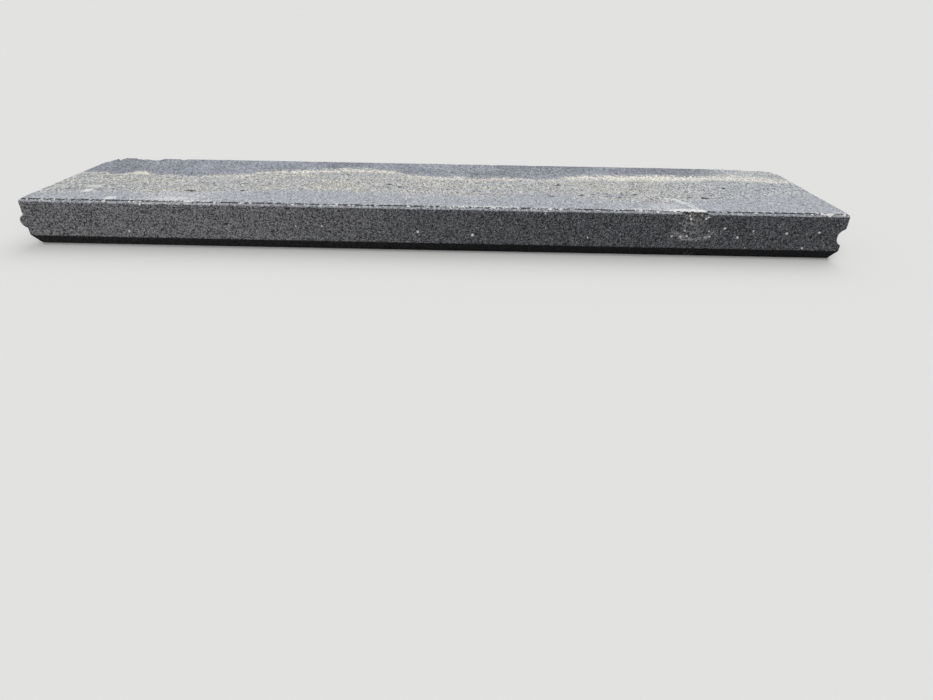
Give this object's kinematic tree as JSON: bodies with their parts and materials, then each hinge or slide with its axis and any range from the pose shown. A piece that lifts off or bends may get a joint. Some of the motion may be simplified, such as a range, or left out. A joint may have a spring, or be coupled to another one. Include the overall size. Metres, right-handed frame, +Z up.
{
  "type": "concrete kerb stone",
  "caption": "Anthracite concrete edging kerb stone with a chamfered head, a half-round tongue on one end and a matching groove on the other.",
  "frame": {"origin": "centre of the stone's bounding box, tongue included, on the plane of its lower broad face", "axes": "+X along the length towards the grooved end; -Y out of the head, the narrow face that shows when laid; +Y out of the foot; +Z up, out of the upper broad face as the stone lies"},
  "size_m": [1.0065, 0.22, 0.06],
  "materials": {
    "concrete": "pressed fine-grained anthracite concrete, matt, dusty and stained on the broad face, with chipped edges"
  },
  "bodies": {
    "root": {"kerb_stone": "concrete"}
  },
  "joints": []
}
